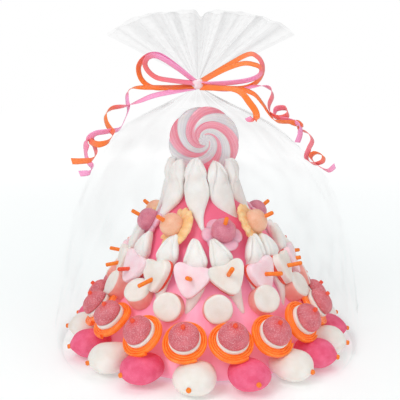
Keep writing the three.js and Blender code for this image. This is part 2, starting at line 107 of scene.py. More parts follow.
def make_mottle():
    """Two shades in soft patches, and a fine grain for the bump."""
    group, given, result = effect(
        "mottle",
        [("Light", "NodeSocketColor", (1, 1, 1, 1)), ("Dark", "NodeSocketColor", (0, 0, 0, 1)),
         ("Patch", "NodeSocketFloat", 60.0), ("Grain", "NodeSocketFloat", 900.0)],
        [("Color", "NodeSocketColor"), ("Height", "NodeSocketFloat")])
    place = add_place(group)
    patches = add_node(group, "TexNoise", {"Vector": place, "Scale": given.outputs["Patch"], "Detail": 3.0})
    grain = add_node(group, "TexNoise", {"Vector": place, "Scale": given.outputs["Grain"], "Detail": 3.0})
    spread = add_range(group, patches.outputs["Fac"], low=0.34, high=0.66)
    shade = add_blend(group, spread, given.outputs["Dark"], given.outputs["Light"])
    feed(group, result, {"Color": shade, "Height": grain.outputs["Fac"]})
    return group


mottle = make_mottle()


def bare_material(name, roughness):
    """A material, its node tree and its shader, ready for a pattern."""
    material = bpy.data.materials.new(name)
    material.use_nodes = True
    shader = material.node_tree.nodes["Principled BSDF"]
    shader.inputs["Roughness"].default_value = roughness
    return material, material.node_tree, shader


def add_bump(tree, shader, height, strength, depth):
    """Fine relief, its depth in mm, from a height that changes over the surface."""
    bump = add_node(tree, "Bump", {"Height": height, "Strength": strength, "Distance": depth * MM})
    tree.links.new(bump.outputs["Normal"], shader.inputs["Normal"])


def add_mottle(tree, light, dark, patch, grain):
    """The mottle effect with the colours and sizes of one finish: patch and grain are in mm."""
    return add_effect(tree, mottle, {"Light": paint(*light), "Dark": paint(*dark),
                                     "Patch": 1 / (patch * MM), "Grain": 1 / (grain * MM)})


def mottled(name, light, dark, patch, grain=0.9, bump=0.22, roughness=0.6, soft=0.0, painted_glow=0.0):
    """A finish of two near shades with a fine grain; soft lets light into foam and jelly, and the glow is a
    painted glow in the finish's own colour.
    """
    material, tree, shader = bare_material(name, roughness)
    pattern = add_mottle(tree, light, dark, patch, grain)
    colour = pattern.outputs["Color"]
    feed(tree, shader, {
        "Base Color": colour, "Emission Color": colour, "Emission Strength": painted_glow, "Subsurface Weight": soft,
        "Subsurface Radius": (1.0, 0.6, 0.5), "Subsurface Scale": 5 * MM})
    add_bump(tree, shader, pattern.outputs["Height"], strength=0.5, depth=bump)
    return material


card = mottled("pulp_card", (240, 236, 228), (226, 220, 210), patch=14, grain=0.6, bump=0.1, roughness=0.75)
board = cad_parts["board"]
board.data.materials.clear()
board.data.materials.append(card)

# Cone: a foam cone in a stretched pink wrap, straight round the foot and tapering to the crown.
# The wrap's colour is set by height: its own pink deepens upward, with painted light paler round the foot
# and painted shade, a deep rose, between the upper rows. A faint painted glow in its own colour brightens
# it.
CONE = [(2.6, 111.5, 0, -7), (3.2, 112.8, 0, -7), (5, 113, 0, -7), (10.5, 110, 0, -6.6), (34, 97, 0, -5),
        (60, 83, 0, -3), (88, 70, 0, -1), (117, 56, 0, 0), (135, 41, -1, 0), (152, 27, -3, 0),
        (168, 24, -4, 0), (174, 20, -4.5, 0), (176, 17, -4.5, 0)]
# Colours from foot to top: its own pink, paler with painted light at the foot and darker with painted shade
# in the upper stops.
WRAP_COLOUR_LIGHT_AND_SHADE = [(0.0, (253, 174, 203)), (0.3, (253, 165, 199)), (0.55, (244, 116, 150)),
               (1.0, (224, 84, 112))]
WRAP_LOW = 20
WRAP_HIGH = 170
MIDDLE = 5.4
SWEETS_NODE = "cone_with_pressed_sweets"
DENT_SEED = 7
noise.seed_set(DENT_SEED)


def clear():
    """Nothing selected, in object mode."""
    if bpy.context.object and bpy.context.object.mode != "OBJECT":
        bpy.ops.object.mode_set(mode="OBJECT")
    bpy.ops.object.select_all(action="DESELECT")


def pick(piece):
    """Only this piece selected and active."""
    clear()
    piece.select_set(True)
    bpy.context.view_layer.objects.active = piece


def pulled(name, rows, sides):
    """A closed body pulled up from a circle ring by ring: height, half width, half depth, x and y, in mm."""
    clear()
    height, wide, deep, x, y = rows[0]
    bpy.ops.mesh.primitive_circle_add(vertices=sides, radius=MM, fill_type="NGON")
    piece = bpy.context.object
    piece.name = name
    bpy.ops.object.mode_set(mode="EDIT")
    bpy.ops.mesh.select_all(action="SELECT")
    bpy.ops.transform.resize(value=(wide, deep, 1), center_override=(0, 0, 0))
    bpy.ops.transform.translate(value=(x * MM, y * MM, height * MM))
    for row in rows[1:]:
        new_height, new_wide, new_deep, new_x, new_y = row
        step = ((new_x - x) * MM, (new_y - y) * MM, (new_height - height) * MM)
        bpy.ops.mesh.extrude_region_move(TRANSFORM_OT_translate={"value": step})
        centre = (new_x * MM, new_y * MM, new_height * MM)
        bpy.ops.transform.resize(value=(new_wide / wide, new_deep / deep, 1), center_override=centre)
        height, wide, deep, x, y = row
    bpy.ops.mesh.select_all(action="SELECT")
    bpy.ops.mesh.normals_make_consistent(inside=False)
    bpy.ops.object.mode_set(mode="OBJECT")
    return piece


def turned(name, outline, sides):
    """A closed body turned about Z from its outline of radius and height, in mm."""
    return pulled(name, [(height, radius, radius, 0, 0) for radius, height in outline], sides)


def rounded(piece, levels=1):
    """Rounds the piece off by subdivision and shades it smooth."""
    pick(piece)
    if levels:
        modifier = piece.modifiers.new("rounding", "SUBSURF")
        modifier.levels = levels
        modifier.render_levels = levels
        bpy.ops.object.modifier_apply(modifier=modifier.name)
    bpy.ops.object.shade_smooth()
    return piece


def dented(piece, depth, size):
    """Soft dents and swells, in mm, that differ from place to place."""
    for vertex in piece.data.vertices:
        vertex.co += noise.noise_vector(vertex.co / (size * MM)) * depth * MM
    return piece


def add_ramp(tree, share, stops):
    """Colours that follow one another along a share of 0 to 1."""
    ramp = add_node(tree, "ValToRGB", {"Fac": share})
    while len(ramp.color_ramp.elements) < len(stops):
        ramp.color_ramp.elements.new(0.5)
    for element, (position, colour) in zip(ramp.color_ramp.elements, stops):
        element.position = position
        element.color = paint(*colour)
    return ramp.outputs["Color"]


def make_wrap():
    """Stretched pink wrap: its colour, painted light and shade included, follows the height, with a painted
    glow, fine upright creases and a soft gloss.
    """
    material, tree, shader = bare_material("pink_wrap", roughness=0.34)
    place = add_place(tree)
    height = add_node(tree, "SeparateXYZ", {"Vector": place}).outputs["Z"]
    shade = add_ramp(tree, add_range(tree, height, WRAP_LOW * MM, WRAP_HIGH * MM), WRAP_COLOUR_LIGHT_AND_SHADE)
    stretch = add_node(tree, "Mapping", {"Vector": place, "Scale": (1, 1, 0.18)})
    crease = add_node(tree, "TexNoise", {"Vector": stretch.outputs["Vector"], "Scale": 130})
    # The emission in the wrap's own colour is a painted glow.
    feed(tree, shader, {"Base Color": shade, "Emission Color": shade, "Emission Strength": 0.13})
    add_bump(tree, shader, crease.outputs["Fac"], strength=0.6, depth=1.2)
    return material


def shift(x, y, z):
    """A move, in mm."""
    return Matrix.Translation((x * MM, y * MM, z * MM))


def painted(piece, *finishes):
    """The finishes of a piece, in the order of its material numbers."""
    for finish in finishes:
        piece.data.materials.append(finish)
    return piece


def fix(piece, finish, *nodes):
    """The piece, moved back to centre the bag, joins the one body in place of CAD nodes; the finish is not
    used.
    """
    piece.data.transform(shift(0, MIDDLE, 0))
    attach(piece, "root")
    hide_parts(*nodes)


cone = pulled("wrapped_cone", [(height, radius, radius, x, y) for height, radius, x, y in CONE], sides=48)
painted(dented(rounded(cone), depth=0.8, size=26), make_wrap())
fix(cone, "mixed_sweets", SWEETS_NODE)

# Pins: sticks dyed orange, or red for a few, that are pushed through every sweet into the foam of the cone.
# Only the outer ends show, with their edges eased.
PIN = 2
PIN_GRAIN = {"patch": 3, "grain": 0.5, "bump": 0.1, "roughness": 0.5}


def pin(name, start, end):
    """A stick along Z with its ends eased."""
    stick = [(0.6 * PIN, start), (PIN, start + 0.5), (PIN, end - 0.8), (0.7 * PIN, end)]
    return rounded(turned(name, stick, sides=10), levels=0)


pin_orange = mottled("pin_orange", (255, 138, 18), (250, 116, 14), **PIN_GRAIN)
pin_red = mottled("pin_red", (250, 88, 48), (238, 68, 36), **PIN_GRAIN)

# Drops: foam drops lying outward round the foot, white and deep pink in turn. Each is blown like an onion,
# flattened by its own weight, and has the end of its pin at the point.
DROP = [(9, 0), (13.6, 3), (17, 9), (18.8, 16), (19.2, 22), (17.7, 28), (13.4, 33), (7.6, 36.4), (3.6, 38.4),
        (2, 39.2)]
DROP_FLAT = 0.69
DROP_COUNT = 20
DROP_TURNS = [-86, -64, -43, -23.5, -4, 15, 33, 50, 67.5, 85.5]
DROP_YAWS = [0, -6, -15, -28, -9, 3, 17, 15]
DROP_RING = {"radius": 108.5, "drawn_in": 7, "height": 15, "tilt": -1.5, "forward": -8}
DROP_PIN_SIZE = 1.12
PINK_SIZE = 0.96


def sway(index, kind):
    """A steady unevenness from sweet to sweet, between -1 and 1."""
    return math.sin(2.4 * index + 1.7 * kind)


def turns(front, count):
    """Where the sweets of a ring stand, in degrees: as pinned at the front, and evenly round the back."""
    gap = (front[0] + 360 - front[-1]) / (count - len(front) + 1)
    return front + [front[-1] + gap * (number + 1) for number in range(count - len(front))]


def as_pinned(front, index, usual):
    """How a sweet is set: as pinned at the front, or the usual way further round."""
    return front[index] if index < len(front) else usual


def twist(axis, degrees):
    """A turn about an axis."""
    return Matrix.Rotation(math.radians(degrees), 4, axis)


def on_cone(turn, radius, height, tilt, spin=0.0, yaw=0.0):
    """The place of a sweet: its Z points outward and its Y up along the cone; yaw turns it aside."""
    out = shift(0, -radius, height) @ twist("Z", yaw)
    lean = twist("X", 90 - tilt) @ twist("Z", spin)
    return twist("Z", turn) @ out @ lean


def joined(name, pieces):
    """Pieces made into one."""
    clear()
    for piece in pieces:
        piece.select_set(True)
    bpy.context.view_layer.objects.active = pieces[0]
    bpy.ops.object.join()
    pieces[0].name = name
    return pieces[0]


def copied(pattern, name, place):
    """A copy of a pattern with a mesh of its own, at its place."""
    twin = pattern.copy()
    twin.data = pattern.data.copy()
    twin.name = name
    bpy.context.scene.collection.objects.link(twin)
    twin.data.transform(place)
    return twin


white_foam = mottled("white_foam", (245, 241, 235), (237, 230, 221), patch=11, roughness=0.62, soft=0.25)
pink_foam = mottled("pink_foam", (246, 106, 144), (236, 80, 122), patch=7, bump=0.3, soft=0.12)
drop_patterns = []
for colour, foam in (("white", white_foam), ("pink", pink_foam)):
    drop = painted(rounded(turned("drop_" + colour, DROP, sides=20)), foam)
    drop.data.transform(Matrix.Diagonal((1, DROP_FLAT, 1, 1)))
    tip = painted(pin("drop_pin", start=33, end=41.2), pin_orange)
    tip.data.transform(Matrix.Diagonal((DROP_PIN_SIZE, DROP_PIN_SIZE, 1, 1)))
    drop_patterns.append(joined("drop_" + colour, [drop, tip]))
for index, turn in enumerate(turns(DROP_TURNS, DROP_COUNT)):
    radius = DROP_RING["radius"] - DROP_RING["drawn_in"] * math.sin(math.radians(turn)) ** 2
    tilt = DROP_RING["tilt"] * (1 - sway(index, 1))
    seat = on_cone(turn, radius, DROP_RING["height"], tilt, 0, as_pinned(DROP_YAWS, index, 0))
    size = PINK_SIZE if index % 2 else 1
    swell = Matrix.Diagonal((size + 0.01 * sway(index, 5), size, 1, 1))
    place = shift(0, DROP_RING["forward"], 0) @ seat @ swell
    sweet = copied(drop_patterns[index % 2], "foam_drop_sweet_%02d" % (index + 1), place)
    dented(sweet, depth=0.55, size=13)
    fix(sweet, "white_foam" if index % 2 == 0 else "pink_foam", "foam_drop_%02d" % (index + 1))
for pattern in drop_patterns:
    bpy.data.objects.remove(pattern)

# Wheels and jellies: orange lace rolled up flat, edge on edge, with a dome of jelly on a white foam foot.
# The dome is rolled in fine sugar and the pin through all three ends in a dot on its top.
WHEEL_RADIUS = 20.8
WHEEL_THICK = 4.6
WHEEL_EYE = 2.2
WHEEL_FORWARD = -3
WHEEL_COUNT = 17
WHEEL_RING = {"radius": 103, "height": 37.5, "tilt": 36}
WHEEL_TURNS = [-71, -52.5, -28.5, -9.6, 9.4, 27.8, 48.5, 71]
WHEEL_SETS = [(107, 38.5, 46, -10), (109, 38.5, 54, -8), (117, 38.5, 46, -16), (117, 37.3, 52, -2),
              (117, 37, 56, 6), (116, 38.5, 44, 6), (111, 40.5, 36, 4), (106, 41, 36, 6)]
LACE = 2.1
LACE_SQUARE = 0.8
FOOT = [(13.2, 4.2), (14.1, 4.8), (14.2, 7), (14, 8.6), (13.2, 9)]
DOME = [(12.8, 8.8), (13.5, 9.5), (13.6, 11.4), (13, 14.2), (11.2, 17), (8.2, 19.2), (4.6, 20.3),
        (1.6, 20.6)]
DOME_PIN_RISE = 3.4
DOME_PIN_LEAN = -9
SUGAR_SIZE = 1.1


def laid(name, columns, rows, where, milk_and_shade=None):
    """A flat grid laid in space: where gives the point for the way across and the way along, 0 to 1."""
    clear()
    bpy.ops.mesh.primitive_grid_add(x_subdivisions=columns, y_subdivisions=rows, size=1, calc_uvs=True)
    piece = bpy.context.object
    piece.name = name
    # The mark of each point: for the film, how much milky grey, painted shade, it shows.
    if milk_and_shade:
        shades = piece.data.attributes.new("milk_and_shade", "FLOAT", "POINT")
        for vertex in piece.data.vertices:
            shades.data[vertex.index].value = milk_and_shade(vertex.co.x + 0.5, vertex.co.y + 0.5)
    for vertex in piece.data.vertices:
        vertex.co = where(vertex.co.x + 0.5, vertex.co.y + 0.5)
    bpy.ops.object.mode_set(mode="EDIT")
    bpy.ops.mesh.select_all(action="SELECT")
    bpy.ops.mesh.remove_doubles(threshold=0.01 * MM)
    bpy.ops.mesh.normals_make_consistent(inside=False)
    bpy.ops.object.mode_set(mode="OBJECT")
    bpy.ops.object.shade_smooth()
    return piece


def lace_point(across, along):
    """The lace of a wheel: a flat-oval band wound from the middle out."""
    windings = (WHEEL_RADIUS - WHEEL_EYE) / LACE
    angle = 2 * math.pi * windings * along
    side = 2 * math.pi * across
    out = math.copysign(abs(math.cos(side)) ** LACE_SQUARE, math.cos(side)) * 0.5 * LACE
    rise = math.copysign(abs(math.sin(side)) ** LACE_SQUARE, math.sin(side)) * 0.5 * WHEEL_THICK
    radius = WHEEL_EYE + (WHEEL_RADIUS - WHEEL_EYE) * along - 0.5 * LACE + out
    lift = 0.5 * WHEEL_THICK + 0.25 * math.sin(3 * angle + 0.7)
    return Vector((radius * math.cos(angle), radius * math.sin(angle), lift + rise)) * MM


def add_math(tree, kind, *values, clamp=False):
    """A sum worked out in a shader, from sockets and plain numbers."""
    node = tree.nodes.new("ShaderNodeMath")
    node.operation = kind
    node.use_clamp = clamp
    return feed(tree, node, dict(enumerate(values))).outputs["Value"]


def add_mark(tree, name):
    """What is marked under this name on each point of a piece."""
    mark = tree.nodes.new("ShaderNodeAttribute")
    mark.attribute_name = name
    return mark.outputs["Fac"]


def make_sugar():
    """Sugar crystals over a colour: pale grains in the colour and their height."""
    group, given, result = effect(
        "sugar",
        [("Color", "NodeSocketColor", (1, 1, 1, 1)), ("Crystal", "NodeSocketColor", (1, 1, 1, 1)),
         ("Size", "NodeSocketFloat", 900.0)],
        [("Color", "NodeSocketColor"), ("Height", "NodeSocketFloat")])
    place = add_place(group)
    crystals = add_node(group, "TexVoronoi", {"Vector": place, "Scale": given.outputs["Size"]})
    dusting = add_node(group, "TexNoise", {"Vector": place, "Scale": 220})
    grain = add_range(group, crystals.outputs["Distance"], low=0.5, high=0.12)
    amount = add_math(group, "MULTIPLY", grain, dusting.outputs["Fac"])
    shade = add_blend(group, amount, given.outputs["Color"], given.outputs["Crystal"])
    feed(group, result, {"Color": shade, "Height": grain})
    return group


sugar = make_sugar()


def sugared(name, light, dark, crystal, heart, soft=0.2, roughness=0.5, relief=0.55):
    """Jelly rolled in sugar, or plain where the crystals have its own colour: deeper round the pin."""
    material, tree, shader = bare_material(name, roughness)
    jelly = add_mottle(tree, light, dark, patch=7, grain=0.8)
    deeper = add_blend(tree, add_mark(tree, "near_pin"), jelly.outputs["Color"], paint(*heart))
    grains = 1 / (SUGAR_SIZE * MM)
    dust = add_effect(tree, sugar, {"Color": deeper, "Crystal": paint(*crystal), "Size": grains})
    feed(tree, shader, {
        "Base Color": dust.outputs["Color"], "Subsurface Weight": soft,
        "Subsurface Radius": (1.0, 0.4, 0.4), "Subsurface Scale": 5 * MM})
    add_bump(tree, shader, dust.outputs["Height"], strength=relief, depth=0.35)
    return material


def mark_pin(piece, reach, rise=0.0):
    """Marks how near the pin each point is: 1 at it, 0 out of reach. The pin may sit above the middle."""
    near = piece.data.attributes.new("near_pin", "FLOAT", "POINT")
    for vertex in piece.data.vertices:
        away = math.hypot(vertex.co.x, vertex.co.y - rise * MM) / (reach * MM)
        near.data[vertex.index].value = max(0.0, 1 - away) ** 1.5
    return piece


# The orange lace has a painted glow, as if lit through.
orange_lace = mottled("orange_lace", (255, 138, 44), (250, 116, 28), patch=5, grain=0.7, bump=0.12,
                      roughness=0.3, soft=0.2, painted_glow=0.14)
red_jelly = sugared("red_jelly", (224, 116, 126), (206, 94, 106), crystal=(246, 198, 204),
                    heart=(236, 78, 78))
lace = painted(laid("lace", columns=10, rows=300, where=lace_point), orange_lace)
foot = painted(rounded(turned("jelly_foot", FOOT, sides=24)), white_foam)
dome = rounded(turned("jelly_dome", DOME, sides=24))
painted(mark_pin(dome, reach=10, rise=DOME_PIN_RISE), red_jelly)
dot = painted(pin("jelly_pin", start=14, end=23.4), pin_red)
dot.data.transform(twist("X", DOME_PIN_LEAN))
wheel_pattern = joined("wheel_pattern", [lace, foot, dome, dot])
for index, turn in enumerate(turns(WHEEL_TURNS, WHEEL_COUNT)):
    usual = (WHEEL_RING["radius"], WHEEL_RING["height"], WHEEL_RING["tilt"] + 4 * sway(index, 1),
             4 * sway(index, 4))
    radius, height, tilt, yaw = as_pinned(WHEEL_SETS, index, usual)
    place = shift(0, WHEEL_FORWARD, 0) @ on_cone(turn, radius, height, tilt, 14 * sway(index, 5), yaw)
    sweet = copied(wheel_pattern, "wheel_sweet_%02d" % (index + 1), place)
    dented(sweet, depth=0.4, size=15)
    fix(sweet, "orange_jelly", "wheel_with_jelly_%02d" % (index + 1))
bpy.data.objects.remove(wheel_pattern)

# Rounds: short foam cylinders cut from a rope and pinned end on, between the wheels and the hearts.
# The outer face is white and a little hollow, the side is salmon.
ROUND_TURNS = turns([-72, -46, -23, 5, 34, 66], count=14)
ROUND_SETS = [(1, 30, 4), (1, 50, 22), (-1, 22, 10), (0, 19, 0), (2, 28, -12), (1, 36, -8)]
ROUND = [(11.8, 0), (13.1, 0.8), (13.5, 5), (13.5, 11), (13.3, 15.4), (12.7, 17), (11.4, 17.7), (7.4, 17.3),
         (2, 16.9)]
ROUND_RING = {"radius": 84.5, "height": 55.5}
ROUND_FACE = 15.8


def two_tone(piece, height):
    """The first finish of a piece above a height, in mm, and the second below it."""
    for face in piece.data.polygons:
        face.material_index = 1 if face.center.z < height * MM else 0
    return piece


salmon_foam = mottled("salmon_foam", (255, 190, 178), (252, 172, 160), patch=8, soft=0.25)
round_pattern = painted(rounded(turned("round_pattern", ROUND, sides=24)), white_foam, salmon_foam)
two_tone(round_pattern, ROUND_FACE)
round_row = []
for index, turn in enumerate(ROUND_TURNS):
    usual = (4 + 2 * sway(index, 2), 26 + 8 * sway(index, 1), 8 * sway(index, 3))
    lift, tilt, yaw = as_pinned(ROUND_SETS, index, usual)
    place = on_cone(turn, ROUND_RING["radius"], ROUND_RING["height"] + lift, tilt, 0, yaw)
    round_row.append(copied(round_pattern, "foam_rounds", place))
bpy.data.objects.remove(round_pattern)
rounds = dented(joined("foam_rounds", round_row), depth=0.6, size=11)
fix(rounds, "mixed_sweets", SWEETS_NODE)

# Mice: white foam mice standing nose up with their backs to the cone, ears laid back and tails hanging down.
# One row stands behind the hearts and eight more make the crown under the lollipop.
MOUSE = [(-37, 1.6, 1.2, 7, -3.4), (-33, 2.6, 1.8, 5.2, -3.6), (-27, 3.8, 2.4, 2.6, -4),
         (-20, 5.6, 3.2, 0.4, -4.4), (-11, 8.4, 4.4, -1.4, -4.8), (-3, 10.2, 4.8, -1.2, -5),
         (5, 10.6, 5, -0.6, -5.2), (10, 9.8, 5.4, 0, -5.4), (12.6, 11.2, 6.4, 0.2, -6),
         (16, 11.2, 6.6, 0.4, -6.2), (21, 9.8, 6.2, 0.8, -6.2), (26, 7.8, 5.4, 1.4, -5.9),
         (30.5, 5.6, 4.4, 2, -5.6), (34, 3.6, 3.2, 2.6, -5.4), (35.8, 1.8, 1.8, 3, -5.2)]
MOUSE_TURNS = [-82, -58, -31, -9, 13, 35, 55, 78]
MOUSE_COUNT = 16
MOUSE_RING = {"radius": 73, "height": 82, "tilt": 22}
MOUSE_LEANS = {4: 19}
MICE_STRAIGHT = (4, 9, 13)
MICE_LEFT = (3, 6, 11, 14)
CROWN_MOUSE = [(-32, 0.9, 0.9, 7.6, -31), (-28, 2, 1.7, 5, -28), (-22, 3.4, 2.7, 2.6, -24),
               (-15, 5.6, 4, 1, -19.4), (-8, 8.8, 5.8, 0.2, -15), (-1, 11, 7, 0, -11.8),
               (6, 11.4, 7.2, 0, -9.8), (12, 10.4, 7, 0, -8.8), (16.5, 9.2, 6.6, 0, -8.3),
               (18.5, 10, 7.2, 0, -8.2), (22, 9.8, 7.4, 0, -8), (26, 8.6, 6.8, 0, -7.7),
               (30, 6.8, 5.8, 0, -7.3), (33.8, 4.4, 4, 0, -6.9), (36, 2, 2, 0, -6.6)]
CROWN_TURNS = [-95, -55, -9, 34, 76]
CROWN_COUNT = 8
CROWN_RING = {"radius": 22.5, "height": 148.5, "x": -5, "wide": 1.1}
CROWN_LEANS = [-6.5, -9, 4, 11, 15]
CROWN_LEFT = (1, 4, 6)
EAR = {"foot": 8, "face": -4, "long": 28, "wide": 9.4, "taper": 9, "swing": 1.4, "groove": 1.7,
       "sharp": 0.9, "sink": 1.3}
HEM = {"height": 14.5, "slope": 0.2, "depth": 1.2}


def mouse(name, rows, aside):
    """A mouse with its nose towards +Z and its face towards -Y; aside is the way its nose and tail swing."""
    body = pulled(name, [(height, wide, deep, x * aside, y) for height, wide, deep, x, y in rows], sides=28)
    rounded(body)
    for vertex in body.data.vertices:
        x, y, z = (part / MM for part in vertex.co)
        if z > EAR["foot"] - 1 and y < EAR["face"]:
            reach = (z - EAR["foot"]) / EAR["long"]
            for side in (-1, 1):
                edge = side * (EAR["wide"] - EAR["taper"] * reach) + aside * EAR["swing"] * reach
                flap = (x - edge) * side
                groove = EAR["groove"] * math.exp(-(flap / EAR["sharp"]) ** 2)
                vertex.co.y += (groove - EAR["sink"] * max(0.0, min(1.0, flap / 2))) * MM
            way = aside or 1
            line = (z - HEM["height"] + HEM["slope"] * way * x) / EAR["sharp"]
            hem = math.exp(-line ** 2) * max(0.0, min(1.0, way * x / 3 + 0.6))
            vertex.co.y += HEM["depth"] * hem * MM
    return painted(body, mouse_foam)


def mouse_row(name, rows, places):
    """A ring of mice that lean to either side."""
    upright = twist("X", -90)
    row = []
    for aside in (-1, 0, 1):
        pattern = mouse("mouse_pattern", rows, aside)
        row += [copied(pattern, name, place @ upright) for way, place in places if way == aside]
        bpy.data.objects.remove(pattern)
    return dented(joined(name, row), depth=0.7, size=12)


mouse_foam = mottled("mouse_foam", (247, 246, 243), (240, 237, 232), patch=11, roughness=0.62, soft=0.25)
mouse_places = []
for index, turn in enumerate(turns(MOUSE_TURNS, MOUSE_COUNT)):
    aside = 0 if index in MICE_STRAIGHT else -1 if index in MICE_LEFT else 1
    lean = MOUSE_LEANS.get(index, 5 * sway(index, 3))
    height = MOUSE_RING["height"] + 1.5 * sway(index, 2)
    mouse_places.append((aside, on_cone(turn, MOUSE_RING["radius"], height, MOUSE_RING["tilt"], lean)))
mice = mouse_row("foam_mice", MOUSE, mouse_places)
fix(mice, "mixed_sweets", SWEETS_NODE)
crown_places = []
for index, turn in enumerate(turns(CROWN_TURNS, CROWN_COUNT)):
    aside = -1 if index in CROWN_LEFT else 1
    lean = as_pinned(CROWN_LEANS, index, 3 * sway(index, 3))
    seat = on_cone(turn, CROWN_RING["radius"], CROWN_RING["height"] + 1.5 * sway(index, 2), 0, lean)
    widened = seat @ Matrix.Diagonal((CROWN_RING["wide"], 1, 1, 1))
    crown_places.append((aside, shift(CROWN_RING["x"], 0, 0) @ widened))
crown = mouse_row("crown_mice", CROWN_MOUSE, crown_places)
fix(crown, "mixed_sweets", SWEETS_NODE)

# Hearts: flat foam hearts, pale pink and white in turn, on a thin layer of red jelly. Each is pinned over a
# mouse and its pin stands well out of the middle.
HEART_COUNT = 16
HEART_RING = {"front": 12, "gap": 22.5, "radius": 78.5, "height": 82.3, "tilt": 20}
HEART_DROPS = {15: 1.7}
HEART_LEANS = {0: 16, 15: -9, 1: 8}
HEART_YAWS = {14: -17, 1: 14, 2: 12}
HEART_PIN = {"start": 1, "end": 28, "dip": 12}
PIN_CUTS = {3: 16, 4: 5, 11: 7, 13: 7, 14: 2}
PIN_DIPS = {0: -8, 1: 4, 2: 4, 3: 10, 12: 24, 13: 20, 14: 28, 15: 0}
RED_PINS = (5, 9, 13)
HEART_HALF = [(0, 11.2), (4, 11.6), (8.4, 13), (13.2, 13.2), (16.8, 10.4), (17.4, 5.6), (15.2, -0.4),
              (11.4, -6.6), (7, -12.6), (3.2, -16.2), (0, -17.2)]
HEART_LAYERS = [(0.94, 0), (1.0, 0.9), (1.0, 3.6), (0.985, 4.2), (1.0, 4.8), (1.0, 8.6), (0.97, 10),
                (0.9, 10.8)]
HEART_JELLY_TOP = 4.2


def spline(points, along):
    """A point on the smooth curve through the points, each as far apart along it as the next."""
    reach = min(max(along, 0.0), 1.0) * (len(points) - 1)
    number = min(int(reach), len(points) - 2)
    part = reach - number
    before = points[max(number - 1, 0)]
    start, end = points[number], points[number + 1]
    after = points[min(number + 2, len(points) - 1)]
    curve = []
    for p, q, r, s in zip(before, start, end, after):
        bend = (2 * p - 5 * q + 4 * r - s) * part + (3 * q - p - 3 * r + s) * part * part
        curve.append(q + 0.5 * part * ((r - p) + bend))
    return curve


def heart(name, foam):
    """A heart, tip down, in its two layers: a disc whose rim is pressed to the outline of a soft heart."""
    piece = turned(name, HEART_LAYERS, sides=44)
    for vertex in piece.data.vertices:
        scale = math.hypot(vertex.co.x, vertex.co.y)
        angle = math.atan2(vertex.co.x, vertex.co.y)
        wide, tall = spline(HEART_HALF, abs(angle) / math.pi)
        vertex.co.x = math.copysign(wide, angle) * scale
        vertex.co.y = tall * scale
    return two_tone(painted(rounded(piece), foam, heart_jelly), HEART_JELLY_TOP)


heart_jelly = mottled("heart_jelly", (246, 104, 78), (232, 78, 58), patch=6, grain=0.8, bump=0.1,
                      roughness=0.35, soft=0.2)
pale_foam = mottled("pale_pink_foam", (255, 230, 236), (253, 216, 225), patch=10, bump=0.2, soft=0.2)
heart_row = []
for colour, foam in ((0, white_foam), (1, pale_foam)):
    pattern = heart("heart_pattern", foam)
    for index in range(colour, HEART_COUNT, 2):
        turn = HEART_RING["front"] + HEART_RING["gap"] * index
        height = HEART_RING["height"] - HEART_DROPS.get(index, 0)
        tilt = HEART_RING["tilt"] + 5 * sway(index, 1)
        lean = HEART_LEANS.get(index, 10 * sway(index, 3))
        place = on_cone(turn, HEART_RING["radius"], height, tilt, lean, HEART_YAWS.get(index, 0))
        heart_row.append(copied(pattern, "heart", place))
        end = HEART_PIN["end"] + 4 * sway(index, 4) - PIN_CUTS.get(index, 0)
        dyed = pin_red if index in RED_PINS else pin_orange
        stick = painted(pin("heart_pin", HEART_PIN["start"], end), dyed)
        stick.data.transform(place @ twist("X", PIN_DIPS.get(index, HEART_PIN["dip"])))
        heart_row.append(stick)
    bpy.data.objects.remove(pattern)
hearts = dented(joined("hearts", heart_row), depth=0.5, size=14)
fix(hearts, "mixed_sweets", SWEETS_NODE)

# Flowers: moulded jelly flowers under the crown, mauve ones with round petals and peach ones with a fluted
# edge in turn. Each has a sugared dome for its eye, and a pin through it.
FLOWER_COUNT = 8
FLOWER_TURNS = turns([-75, -31, 13, 48, 119], FLOWER_COUNT)
FLOWER_SETS = [(51, 118, 30, -10), (51, 119, 34, -28), (55, 114.5, 50, 0), (50, 121, 30, 25),
               (50, 118, 32, 0)]
FLOWER_RING = {"radius": 51, "height": 119, "tilt": 30}
PETAL = [(0.6, 3.6, 4.4, 0, 0), (1.4, 7.2, 8.4, 0, 0), (3.4, 8.2, 9.6, 0, 0), (5.2, 7, 8.2, 0, 0),
         (6, 3.6, 4.4, 0, 0)]
PETAL_COUNT = 6
PETAL_REACH = 11.6
EYE = [(10.6, 4.5), (11.4, 6.6), (11.7, 11), (10.8, 15.6), (7.8, 19.2), (2.6, 21)]
BRIM = [(16, 0.6), (19.9, 1.4), (21, 3.2), (20.1, 5.4), (16, 6.6), (10, 6.2)]
FLUTE = {"count": 14, "reach": 20, "inner": 0.45, "wide": 0.09, "high": 1.5}


def round_petals(jelly):
    """Round petals side by side."""
    petals = []
    for number in range(PETAL_COUNT):
        petal = painted(rounded(pulled("petal", PETAL, sides=14)), jelly)
        out = shift(PETAL_REACH, 0, 0) @ Matrix.Diagonal((1.02, 0.98, 1, 1))
        petal.data.transform(twist("Z", 360 / PETAL_COUNT * number) @ out)
        petals.append(petal)
    return joined("petals", petals)


def fluted_brim(jelly):
    """A brim pressed into flutes, deeper towards its edge."""
    brim = rounded(turned("brim", BRIM, sides=84))
    for vertex in brim.data.vertices:
        angle = math.atan2(vertex.co.y, vertex.co.x)
        share = math.hypot(vertex.co.x, vertex.co.y) / (FLUTE["reach"] * MM)
        flute = math.cos(FLUTE["count"] * angle) * max(0.0, share - FLUTE["inner"])
        vertex.co.x *= 1 + FLUTE["wide"] * flute
        vertex.co.y *= 1 + FLUTE["wide"] * flute
        vertex.co.z += FLUTE["high"] * flute * MM
    return painted(mark_pin(brim, reach=19), jelly)


